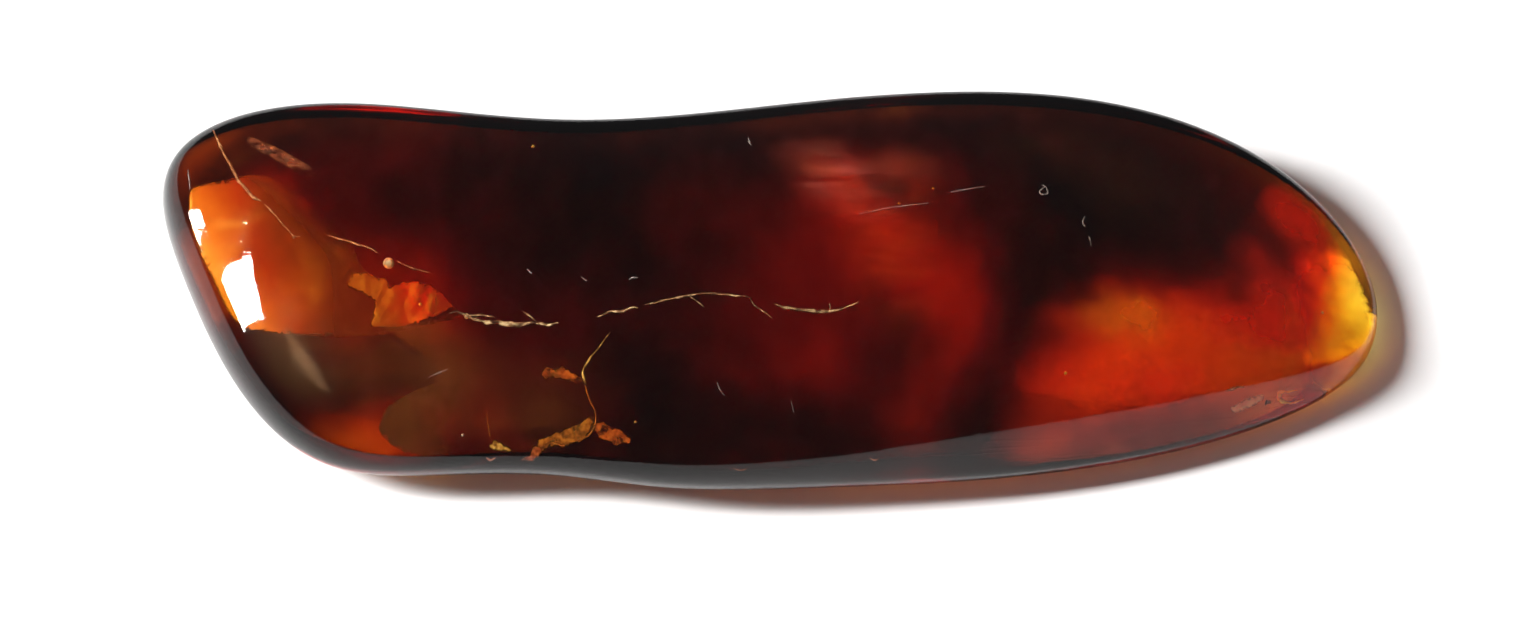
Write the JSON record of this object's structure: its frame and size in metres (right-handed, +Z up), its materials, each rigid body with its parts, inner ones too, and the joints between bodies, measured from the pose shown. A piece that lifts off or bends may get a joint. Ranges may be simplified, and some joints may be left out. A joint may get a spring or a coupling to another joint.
{
  "type": "polished amber piece",
  "caption": "Long flattish polished pebble of dark cherry amber, clear orange at the thin tip, with smoky clouds and healed cracks inside.",
  "frame": {"origin": "bottom centre of the stone's box, on the surface it lies on", "axes": "+X along the length towards the thin clear tip, +Y towards the waisted back edge, +Z up through the thickness"},
  "size_m": [0.0542, 0.0184, 0.008],
  "materials": {
    "amber": "clear cherry resin, hand polished to a high gloss with a slight waviness and fine scratches; IOR 1.54, red to yellow by depth",
    "smoke": "dark red-black clouds and flow layers inside the resin, soft edged",
    "fracture": "healed crack faces and fragments inside the resin, orange-red to tan and gold, ragged and slightly sparkling",
    "bubble": "small clear gas bubbles sealed in the resin"
  },
  "bodies": {
    "root": {"amber": "amber"}
  },
  "joints": []
}
